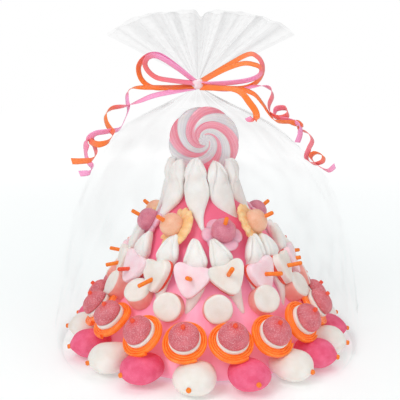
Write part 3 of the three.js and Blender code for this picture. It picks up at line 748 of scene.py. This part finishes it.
mauve_petal = mottled("mauve_petal", (248, 196, 212), (240, 174, 196), patch=7, grain=0.8, bump=0.12,
                      roughness=0.35, soft=0.3)
mauve_eye = sugared("mauve_eye", (224, 138, 156), (208, 114, 138), crystal=(232, 166, 182),
                    heart=(206, 104, 130), soft=0.3, roughness=0.3, relief=0.2)
peach_petal = sugared("peach_petal", (255, 218, 166), (254, 198, 130), crystal=(255, 222, 176),
                      heart=(246, 138, 44), soft=0.3, roughness=0.35, relief=0.1)
peach_eye = sugared("peach_eye", (248, 194, 162), (242, 178, 142), crystal=(250, 206, 180),
                    heart=(244, 176, 138), soft=0.35, roughness=0.3, relief=0.15)
flower_row = []
flower_kinds = [(round_petals(mauve_petal), mauve_eye), (fluted_brim(peach_petal), peach_eye)]
for kind, (petals, eye) in enumerate(flower_kinds):
    middle = painted(mark_pin(rounded(turned("eye", EYE, sides=22)), reach=6), eye)
    stem = painted(pin("flower_pin", start=3, end=29), pin_orange)
    pattern = joined("flower_pattern", [petals, middle, stem])
    for index in range(kind, FLOWER_COUNT, 2):
        usual = (FLOWER_RING["radius"], FLOWER_RING["height"], FLOWER_RING["tilt"], 6 * sway(index, 4))
        radius, height, tilt, yaw = as_pinned(FLOWER_SETS, index, usual)
        place = on_cone(FLOWER_TURNS[index], radius, height, tilt, 30 + 25 * sway(index, 2), yaw)
        flower_row.append(copied(pattern, "flower", place))
    bpy.data.objects.remove(pattern)
flowers = dented(joined("jelly_flowers", flower_row), depth=0.4, size=14)
fix(flowers, "mixed_sweets", SWEETS_NODE)

# Lollipop: a disc of boiled sugar drawn in pink and white ropes and wound from the middle, on a white stick
# that is pushed into the top of the cone.
DISC = {"radius": 35, "half": 4.6, "x": -3.5, "z": 198, "arms": 4, "wind": 0.38, "core": 5.2,
        "core_lift": 2.2, "slow": 4, "start": 0.35, "groove": 1.3, "soft": 0.4}
STICK = [(1.6, 176.4), (2.2, 177), (2.2, 190), (1.8, 197)]
MERGING = {"from": 10, "to": 23, "amount": 1.25, "turn": 3.72}


def rope_phase(x, z):
    """How far round one pink and one white rope a point of the disc lies, counted in ropes."""
    z -= DISC["core_lift"]
    turn = math.atan2(z, x) / (2 * math.pi)
    reach = max(math.hypot(x, z), DISC["core"]) + DISC["slow"]
    turn += DISC["wind"] * math.log(reach / (DISC["core"] + DISC["slow"]))
    return DISC["arms"] * turn + DISC["start"]


def disc_point(across, along):
    """A lens with a thick rim, from the middle of the front over the rim to the middle of the back."""
    angle = 2 * math.pi * across
    sweep = math.pi * along
    share = math.sin(sweep) ** 0.55
    depth = math.copysign(abs(math.cos(sweep)) ** 0.75, math.cos(sweep))
    radius = DISC["radius"] * share
    phase = rope_phase(radius * math.cos(angle), radius * math.sin(angle))
    groove = abs(math.sin(math.pi * 2 * phase)) ** 0.5
    relief = DISC["groove"] * groove * min(1.0, 4 * share) - DISC["groove"]
    radius += relief * share ** 6
    height = (DISC["half"] + relief * (1 - share ** 6)) * depth
    return Vector((DISC["x"] + radius * math.cos(angle), -height, DISC["z"] + radius * math.sin(angle))) * MM


def make_swirl():
    """Pink and white ropes that wind out from the middle of the disc, streaked along their length, with
    painted shade darkening one edge of each rope as in a crease.
    """
    material, tree, shader = bare_material("swirled_sugar", roughness=0.16)

    def worked(kind, *values):
        return add_math(tree, kind, *values)

    place = add_place(tree)
    to_core = (-DISC["x"] * MM, 0, -(DISC["z"] + DISC["core_lift"]) * MM)
    centred = add_node(tree, "Mapping", {"Vector": place, "Location": to_core})
    split = add_node(tree, "SeparateXYZ", {"Vector": centred.outputs["Vector"]})
    x, z = split.outputs["X"], split.outputs["Z"]
    radius = worked("SQRT", worked("ADD", worked("MULTIPLY", x, x), worked("MULTIPLY", z, z)))
    reach = worked("ADD", worked("MAXIMUM", radius, DISC["core"] * MM), DISC["slow"] * MM)
    ratio = worked("DIVIDE", reach, (DISC["core"] + DISC["slow"]) * MM)
    wound = worked("MULTIPLY", worked("LOGARITHM", ratio, math.e), DISC["wind"])
    turn = worked("ADD", worked("DIVIDE", worked("ARCTAN2", z, x), 2 * math.pi), wound)
    phase = worked("ADD", worked("MULTIPLY", turn, DISC["arms"]), DISC["start"])
    merging = add_range(tree, radius, MERGING["from"] * MM, MERGING["to"] * MM, MERGING["amount"], 0.0)
    one_side = worked("COSINE", worked("SUBTRACT", worked("MULTIPLY", turn, 2 * math.pi), MERGING["turn"]))
    ropes = worked("SINE", worked("MULTIPLY", phase, 2 * math.pi))
    wave = worked("ADD", ropes, worked("MULTIPLY", one_side, merging))
    edge = add_range(tree, wave, low=-0.12, high=0.12)
    core = add_range(tree, radius, (DISC["core"] - DISC["soft"]) * MM, (DISC["core"] + DISC["soft"]) * MM)
    fine = worked("SINE", worked("MULTIPLY", phase, 14 * math.pi))
    # Painted shade: dark at one edge of each rope, as in a crease, and lighter across the rest.
    crease_shade = worked("POWER", worked("FRACT", worked("MULTIPLY", phase, 2)), 0.45)
    body = worked("ADD", worked("MULTIPLY", fine, 0.14), worked("MULTIPLY", crease_shade, 0.86))
    # Each rope runs from its dark, painted-shade colour to its light one by that share, with real streaks
    # mixed in.
    white = add_blend(tree, body, paint(212, 212, 218), paint(244, 244, 245))
    pink = add_blend(tree, body, paint(236, 114, 135), paint(255, 182, 199))
    feed(tree, shader, {
        "Base Color": add_blend(tree, worked("MULTIPLY", edge, core), white, pink), "Coat Weight": 0.4,
        "Coat Roughness": 0.06, "Subsurface Weight": 0.15, "Subsurface Scale": 4 * MM})
    return material


disc = painted(laid("lollipop_disc", columns=200, rows=90, where=disc_point), make_swirl())
stick = painted(rounded(turned("lollipop_stick", STICK, sides=14), levels=0), white_foam)
stick.data.transform(shift(DISC["x"], 0, 0))
lollipop = joined("lollipop", [disc, stick])
fix(lollipop, "boiled_sugar", "swirl_lollipop")

# Bag: a tube bag of thin clear film, drawn together over the sweets and tied. Pleats run down from the neck
# over the shoulders, the sides are creased, and above the knot the film stands up in a fan.
SIDE = [(147, 0), (152, 10), (149, 46), (139, 112), (113, 172), (74, 214), (30, 237), (6.6, 249)]
NECK = {"x": -9.5, "radius": 5.6, "low": 249, "top": 259}
FAN = {"x": -6.5, "half_width": 90, "half_depth": 12, "top": 322, "corner": 301}
FLOOR_SHARE = 0.1
SIDE_SHARE = 0.7
NECK_SHARE = 0.73
FILM = {"floor": 144, "lift": 0.4, "forward": -6, "floor_deep": 1.03, "deep": 1.035, "narrowing": 0.135}
PLEATS = [(3.4, 13, 0.3), (1.6, 29, 2.1)]
FACETS = [(5, 46, 0.0), (2.5, 24, 3.0)]
PLEAT_ROOM = 40
FACET_ROOM = 70
GATHERED = (150, 240)
SHIFTED = (150, 245)
MILK_AND_SHADE_GATHERS = (130, 225)
EDGE_CLEARING = 0.96


def eased(value, low, high):
    """A smooth step from 0 to 1."""
    part = min(max((value - low) / (high - low), 0.0), 1.0)
    return part * part * (3 - 2 * part)


def pleat(angle, count, kind):
    """Uneven pleats round the bag, flat between sharp folds, from -1 to 1."""
    wander = noise.noise((1.6 * math.cos(angle) + kind, 1.6 * math.sin(angle), kind))
    return 2 / math.pi * math.asin(0.985 * math.sin(count * angle + 5 * wander + kind))


def streak(point, across, along, slant, kind):
    """Soft streaks up the film, from -1 to 1, by their width across, their length along and their slant."""
    x, y, z = point
    return noise.noise(((x + slant * z) / across, (y + slant * z) / across, z / along + kind))


def ridge(value, sharp):
    """A thin line, up to 1, where a streak changes sign."""
    return max(0.0, 1 - sharp * abs(value))


def facets(point, size, kind):
    """Slack facets with creases between them: the way each one stands out or in."""
    spot = Vector(point) / size + Vector((kind, kind, kind))
    middle = noise.voronoi(spot)[1][0]
    return noise.noise_vector(middle * 7.3).dot(spot - middle)


def side_of_bag(along):
    """The half width and the height at a point on the side of the bag."""
    return spline(SIDE, (along - FLOOR_SHARE) / (SIDE_SHARE - FLOOR_SHARE))


def film_point(across, along):
    """The film from the middle of the bottom, up the side and through the neck to the mouth of the fan."""
    angle = 2 * math.pi * across
    right, back = math.cos(angle), math.sin(angle)
    if along < FLOOR_SHARE:
        radius = FILM["floor"] * along / FLOOR_SHARE + FILM["lift"]
        y = radius * back * FILM["floor_deep"] + FILM["forward"]
        return Vector((radius * right, y, FILM["lift"])) * MM
    if along < SIDE_SHARE:
        half, z = side_of_bag(along)
        depth = FILM["deep"] - FILM["narrowing"] * z / NECK["top"]
        forward = FILM["forward"] * (1 - z / NECK["top"]) ** 2
        fold = sum(size * pleat(angle, count, kind) for size, count, kind in PLEATS)
        fold *= eased(z, *GATHERED) * min(1.0, half / PLEAT_ROOM)
        spot = (half * right, half * back, 0.55 * z)
        slack = sum(size * facets(spot, wide, kind) for size, wide, kind in FACETS)
        slack *= min(1.0, half / FACET_ROOM) * eased(z, 3, 30)
        reach = half - 1 + fold + slack
        x = NECK["x"] * eased(z, *SHIFTED) + reach * right
        return Vector((x, forward + depth * reach * back, max(z, FILM["lift"]))) * MM
    if along < NECK_SHARE:
        rise = (along - SIDE_SHARE) / (NECK_SHARE - SIDE_SHARE)
        reach = NECK["radius"] + 0.8 * pleat(angle, *PLEATS[0][1:])
        z = NECK["low"] + (NECK["top"] - NECK["low"]) * rise
        return Vector((NECK["x"] + reach * right, 0.9 * reach * back, z)) * MM
    spread = (along - NECK_SHARE) / (1 - NECK_SHARE)
    way = (right, math.copysign(3, back), 0)
    mouth = FAN["top"] - (FAN["top"] - FAN["corner"]) * abs(right) ** 3
    mouth += 3 * streak(way, 0.11, 1, 0, 1.1) - 6 * math.exp(-(right / 0.035) ** 2)
    half = NECK["radius"] + (FAN["half_width"] - NECK["radius"]) * spread
    thick = NECK["radius"] + (FAN["half_depth"] - NECK["radius"]) * spread
    wave = 9 * streak(way, 0.16, 1, 0, 2.0 + 0.5 * spread) + 4 * streak(way, 0.07, 1, 0, 7.0 + 0.3 * spread)
    wave *= spread * abs(back) ** 0.5
    x = NECK["x"] + (FAN["x"] - NECK["x"]) * spread + half * right
    z = NECK["top"] + (mouth - NECK["top"]) * spread
    return Vector((x, thick * back + wave, z)) * MM


def film_milk_and_shade(across, along):
    """How milky and grey the film is: clear where it is stretched, and milky with painted grey shade in
    folds and where it is gathered.
    """
    right, back = math.cos(2 * math.pi * across), math.sin(2 * math.pi * across)
    if along < FLOOR_SHARE:
        return 0.0
    if along < SIDE_SHARE:
        half, z = side_of_bag(along)
        spot = (half * right, half * back, z)
        flank = right ** 2
        line = ridge(streak(spot, 40, 150, -0.3, 5.0), 6)
        cloud = eased(streak(spot, 34, 80, 0.3, 2.0) + 0.5 * streak(spot, 13, 60, -0.4, 8.0), -0.3, 0.45)
        slack = 0.008 + 0.012 * line + flank * (0.005 + 0.11 * cloud + 0.06 * line)
        rays = max(0.0, streak((right, back, z), 0.13, 150, 0, 3.0))
        cross = eased(streak(spot, 20, 60, 0.7, 6.0), -0.3, 0.6)
        # At the foot of the flanks a grey band: the bag's edge, and painted shadow of the bag on the floor.
        rim = 0.3 * flank ** 3 * math.exp(-(z / 9) ** 2)
        gathers = (1.25 + 0.5 * right) * (0.02 + 0.13 * rays + 0.09 * cross)
        return eased(z, 1, 20) * slack + eased(z, *MILK_AND_SHADE_GATHERS) * gathers + rim
    spread = max(0.0, (along - NECK_SHARE) / (1 - NECK_SHARE))
    way = (right, math.copysign(3, back), 0)
    broad = max(0.0, streak(way, 0.12, 1, 0, 4.0 + 0.5 * spread))
    line = ridge(streak(way, 0.08, 1, 0, 9.0 + 0.3 * spread), 6)
    fade = 0.35 + 0.65 * abs(back) ** 0.6
    crinkle = ridge(streak((right, spread, 0), 0.1, 1, 0, 5.0) + streak(way, 0.06, 1, 0, 2.0), 5)
    hem = eased(along, 0.985, 1)
    return fade * (0.05 + 0.36 * broad + 0.12 * line + 0.07 * crinkle + 0.05 * hem)


def make_film():
    """Clear film in a streaked grey that is painted shade, shown as far as it is marked milky and shaded and
    less where it turns edge on, with a hard gloss.
    """
    material, tree, shader = bare_material("clear_film", roughness=0.16)
    place = add_place(tree)
    stretch = add_node(tree, "Mapping", {"Vector": place, "Scale": (1, 1, 0.35)})
    streaks = add_node(tree, "TexNoise", {"Vector": stretch.outputs["Vector"], "Scale": 34, "Detail": 3})
    share = add_range(tree, streaks.outputs["Fac"], low=0.38, high=0.66)
    # The film's streaked grey colour is painted shade.
    shade = add_blend(tree, share, (0.24, 0.25, 0.26, 1), (0.5, 0.5, 0.51, 1))
    facing = add_node(tree, "LayerWeight", {"Blend": 0.4}).outputs["Facing"]
    face_on = add_math(tree, "MULTIPLY_ADD", facing, -EDGE_CLEARING, 1.0)
    milk_and_shade_share = add_math(tree, "MULTIPLY", face_on, add_mark(tree, "milk_and_shade"), clamp=True)
    feed(tree, shader, {"Base Color": shade, "Alpha": milk_and_shade_share, "Specular IOR Level": 0.7})
    return material


film = painted(laid("film_bag", columns=300, rows=200, where=film_point, milk_and_shade=film_milk_and_shade), make_film())
fix(film, "clear_film", "clear_bag")

# Ribbon: satin curling ribbon dyed from pink to orange along its length, tied round the neck in a bow with
# two loops a side. The tails are drawn over a blade so that they wind, and hang over the shoulders.
RIBBON = {"width": 6, "thick": 0.35, "x": -9.5, "y": -11, "z": 254, "step": 0.004}
RIBBON_SHADES = [(0.0, (252, 166, 212)), (0.5, (250, 122, 126)), (1.0, (255, 126, 40))]
LOOP_OPENING = 45
NECK_BAND = [(6.9, -3.6), (8.4, -4), (9.4, -2.6), (9.6, 0), (9.4, 2.6), (8.4, 4), (6.9, 3.6)]
KNOT = [(3.2, -5), (5.2, -3.4), (5.8, 0), (5.2, 3.4), (3.2, 5)]


def from_knot(point):
    """A point measured from the knot."""
    return Vector((RIBBON["x"] + point[0], RIBBON["y"] + point[1], RIBBON["z"] + point[2]))


def band(name, points, dyes, rows, across_at):
    """A flat band along a curve. dyes gives its shade at even steps: 0 is pink and 1 is orange."""
    def centre(along):
        return Vector(spline(points, along))

    def where(across, along):
        ahead = centre(min(along + RIBBON["step"], 1.0)) - centre(max(along - RIBBON["step"], 0.0))
        ahead = ahead.normalized()
        wide = across_at(along, ahead)
        wide = (wide - ahead * wide.dot(ahead)).normalized()
        return (centre(along) + wide * RIBBON["width"] * (across - 0.5)) * MM

    piece = laid(name, columns=4, rows=rows, where=where)
    dye = piece.data.attributes.new("dye", "FLOAT", "POINT")
    shades = piece.data.uv_layers[0].data
    for loop in piece.data.loops:
        reach = shades[loop.index].uv.y
        dye.data[loop.vertex_index].value = spline([(shade,) for shade in dyes], reach)[0]
    pick(piece)
    wall = piece.modifiers.new("wall", "SOLIDIFY")
    wall.thickness = RIBBON["thick"] * MM
    wall.offset = 0
    bpy.ops.object.modifier_apply(modifier=wall.name)
    return piece


def bow_loop(points, dyes):
    """A loop of the bow, opened a little towards the front."""
    opening = math.radians(LOOP_OPENING)

    def across_at(along, ahead):
        back = Vector((0, 1, 0))
        return back * math.cos(opening) + back.cross(ahead) * math.sin(opening)

    return band("bow_loop", [from_knot(point) for point in points], dyes, 60, across_at)


def bow_tail(points, dyes):
    """A tail that runs out over the shoulder and winds down beside the bag; its face turns with the curl."""
    path = [from_knot(point) for point in points]
    axis = (path[-1] - Vector(spline(path, 0.3))).normalized()

    def across_at(along, ahead):
        return Vector((0, 0.7, 0.7)).lerp(axis + Vector((0, 0.9, 0)), eased(along, 0.1, 0.3))

    return band("bow_tail", path, dyes, 9 * len(path), across_at)


def short_end(points, dyes):
    """The short end of the ribbon, which hangs over the front with its face outward."""
    def across_at(along, ahead):
        return Vector((0, 0.7, 0.7)).lerp(Vector((0.9, 0.1, 0.4)), eased(along, 0.25, 0.5))

    return band("short_end", [from_knot(point) for point in points], dyes, 70, across_at)


def make_ribbon():
    """Satin ribbon: the dye runs from pink through coral to orange, over a fine lengthwise weave."""
    material, tree, shader = bare_material("dyed_ribbon", roughness=0.32)
    shade = add_ramp(tree, add_mark(tree, "dye"), RIBBON_SHADES)
    place = add_node(tree, "UVMap", {}).outputs["UV"]
    weave = add_node(tree, "TexWave", {"Vector": place, "Scale": 9})
    feed(tree, shader, {"Base Color": shade, "Sheen Weight": 0.15})
    add_bump(tree, shader, weave.outputs["Fac"], strength=0.25, depth=0.1)
    return material


dyed_ribbon = make_ribbon()
strips = [
    bow_loop([(-3, 0, -1), (-22, -6, -3), (-42, -8, -3), (-52.5, -8, 4), (-55.5, -8, 15), (-51, -8, 23),
              (-42, -8, 27.5), (-30, -7, 24), (-3, 0, 3)],
             [0.9, 1, 1, 1, 0.9, 0.6, 0.1, 0, 0.1]),
    bow_loop([(-3, -1, 1), (-25, -11, 3.5), (-38, -13, 6), (-46, -13, 12), (-49, -13, 19), (-45, -13, 25),
              (-36, -12, 25), (-20, -10, 15.5), (-3, -1, 3)],
             [0.3, 0.4, 0.5, 0.55, 0.5, 0.3, 0, 0, 0.05]),
    bow_loop([(3, 0, -1), (22, -6, -3.5), (42, -8, -3.5), (54, -8, 1), (60, -8, 9), (60.5, -8, 18),
              (56, -8, 25), (47, -8, 27.5), (27, -6, 17), (3, 0, 3)],
             [0.7, 0.9, 1, 1, 0.7, 0.5, 0.6, 0.9, 1, 1]),
    bow_loop([(3, -1, 0), (26, -11, 1), (46, -13, 3.5), (57, -13, 8), (59, -13, 14), (54, -13, 17.5),
              (42, -13, 19), (24, -11, 13), (3, -1, 2)],
             [0, 0, 0, 0.2, 0.6, 1, 1, 1, 0.9]),
    bow_tail([(-3, 0, -2), (-26, -5, -3), (-48, -11, -3), (-60, -15, -3.5), (-65, -17, -7),
              (-65.5, -19, -14.5), (-64, -23, -22.5), (-67, -29, -32), (-71, -37, -40), (-80, -45, -41.5),
              (-92, -47, -43.5), (-99, -43, -50.5), (-102, -39, -60), (-99.5, -43, -68.5),
              (-94.5, -49, -73), (-97, -53, -77.5), (-106, -51, -79)],
             [1, 1, 0.9, 0, 0, 0, 0, 0.2, 0.1, 0, 0]),
    bow_tail([(-3, 0, -3), (-22, -9, -6.5), (-41, -17, -10.5), (-55, -23, -16), (-66, -25, -19.5),
              (-78.5, -27, -21.5), (-84, -31, -27), (-82.5, -37, -34.5), (-77.5, -45, -40.5),
              (-74.5, -51, -43), (-79, -55, -49.5), (-88, -53, -52.5), (-96, -45, -50.5),
              (-97.5, -39, -46), (-93.5, -41, -55), (-91, -49, -62), (-94.5, -55, -66),
              (-105, -53, -67.5), (-113, -49, -68)],
             [0, 0, 0.2, 0.9, 1, 0.8, 1, 0.7, 0.5, 0.9, 1]),
    bow_tail([(3, 0, -2), (23, -5, -4.5), (41.5, -9, -3.5), (58, -13, -1.5), (67, -15, -3.5),
              (69.5, -17, -10), (66, -21, -19), (67, -27, -26.5), (74.5, -35, -30), (81.5, -37, -27),
              (80, -31, -21.5), (72, -27, -22.5), (71, -31, -29.5), (81.5, -39, -32), (90, -43, -35.5),
              (92.5, -41, -43.5), (90.5, -39, -52)],
             [0, 0, 0.1, 0.4, 0.5, 0.6, 0.5, 0.3, 0.2, 0, 0]),
    bow_tail([(3, 0, -3), (23, -9, -3.5), (39.5, -15, -4.5), (52, -19, -9), (60, -23, -18),
              (65.5, -29, -27), (71, -37, -33), (83, -43, -33.5), (91.5, -39, -35.5), (94.5, -35, -41),
              (100, -39, -43.5), (103, -45, -49.5), (99.5, -47, -57.5), (99, -43, -66), (104, -47, -70.5),
              (110.5, -55, -67.5), (111.5, -53, -62.5), (105.5, -47, -60.5), (102, -45, -65),
              (107.5, -51, -71.5), (116, -55, -75.5), (122.5, -53, -71.5)],
             [1, 1, 1, 1, 0.8, 0.5, 0.4, 0.6, 1, 0.5, 0]),
    short_end([(3, -1, -3), (18.5, -19, -3.5), (33, -27, -4.5), (40.5, -33, -8.5), (46.5, -37, -16),
               (51.5, -39, -23), (53, -41, -28.5), (51, -43, -31), (47, -41, -31.5), (45.5, -37, -29.5)],
              [1, 1, 1, 1, 1, 1, 0.9, 0.3, 0]),
]
for strip in strips:
    painted(strip, dyed_ribbon)
neck_band = rounded(turned("neck_band", NECK_BAND, sides=28))
neck_band.data.transform(shift(RIBBON["x"], 0, RIBBON["z"]))
knot = rounded(turned("knot", KNOT, sides=16))
knot.data.transform(shift(*from_knot((0, 0, 0))) @ Matrix.Diagonal((1.1, 0.7, 1, 1)))
pale_tie = mottled("pale_tie", (250, 232, 236), (244, 214, 222), patch=4, grain=0.5, bump=0.2,
                   roughness=0.3, soft=0.2)
strips += [painted(neck_band, pale_tie), painted(knot, pale_tie)]
bow = joined("bow", strips)
fix(bow, "ribbon", "ribbon_bow")

# Studio: a white floor that runs out of sight and a white surround, both seen as plain white.
# Large soft lights stand in front to either side and above, and the camera looks a little down.
WHITE = (1, 1, 1, 1)
FLOOR_SIZE = 12
FLOOR_FAR = {"low": 0.2, "high": 1.7, "start": 0.17, "end": 0.535}
FLOOR_GLOW = 0.25
SURROUND = 0.52
LIGHTS = [("key_light", (-0.7, -1.0, 1.2), (0, 0, 0.12), 0.7, 8.6),
          ("fill_light", (1.0, -0.9, 0.7), (0, 0, 0.12), 1.0, 2.5),
          ("top_light", (0.1, 0.2, 1.5), (0, 0, 0.1), 1.0, 4.5)]
CAMERA = {"lens": 58.5, "sensor": 36, "place": (-0.0074, -0.6346, 0.254), "dip": 10.1}


def soft_light(name, place, aim, size, power):
    """A square softbox that looks at a point."""
    light = bpy.data.lights.new(name, "AREA")
    light.size = size
    light.energy = power
    lamp = bpy.data.objects.new(name, light)
    bpy.context.scene.collection.objects.link(lamp)
    lamp.location = place
    lamp.rotation_euler = (Vector(aim) - Vector(place)).to_track_quat("-Z", "Y").to_euler()


clear()
bpy.ops.mesh.primitive_plane_add(size=FLOOR_SIZE)
floor = bpy.context.object
floor.name = "studio_floor"
floor_white, floor_tree, floor_shader = bare_material("studio_white", roughness=0.9)
floor_reach = floor_tree.nodes.new("ShaderNodeVectorMath")
floor_reach.operation = "LENGTH"
feed(floor_tree, floor_reach, {0: add_place(floor_tree)})
floor_far = add_range(floor_tree, floor_reach.outputs["Value"], **FLOOR_FAR)
floor_seen = add_node(floor_tree, "LightPath", {}).outputs["Is Camera Ray"]
feed(floor_tree, floor_shader, {
    "Base Color": (0.84, 0.89, 0.89, 1), "Specular IOR Level": 0.2, "Emission Color": (1.045, 1, 1, 1),
    "Emission Strength": add_range(floor_tree, floor_seen, 0.0, 1.0, FLOOR_GLOW, floor_far)})
painted(floor, floor_white)

world = bpy.data.worlds.new("studio_surround")
bpy.context.scene.world = world
world.use_nodes = True
world_tree = world.node_tree
surround = feed(world_tree, world_tree.nodes["Background"], {"Color": WHITE, "Strength": SURROUND})
backdrop = add_node(world_tree, "Background", {"Color": WHITE})
seen = add_node(world_tree, "LightPath", {}).outputs["Is Camera Ray"]
either = add_node(world_tree, "MixShader", {
    0: seen, 1: surround.outputs["Background"], 2: backdrop.outputs["Background"]})
feed(world_tree, world_tree.nodes["World Output"], {"Surface": either.outputs["Shader"]})

for light in LIGHTS:
    soft_light(*light)

camera_data = bpy.data.cameras.new("photo_view")
camera_data.lens = CAMERA["lens"]
camera_data.sensor_width = CAMERA["sensor"]
camera = bpy.data.objects.new("photo_view", camera_data)
bpy.context.scene.collection.objects.link(camera)
camera.location = CAMERA["place"]
camera.rotation_euler = (math.radians(90 - CAMERA["dip"]), 0, 0)
bpy.context.scene.camera = camera
bpy.context.scene.view_settings.view_transform = "Standard"
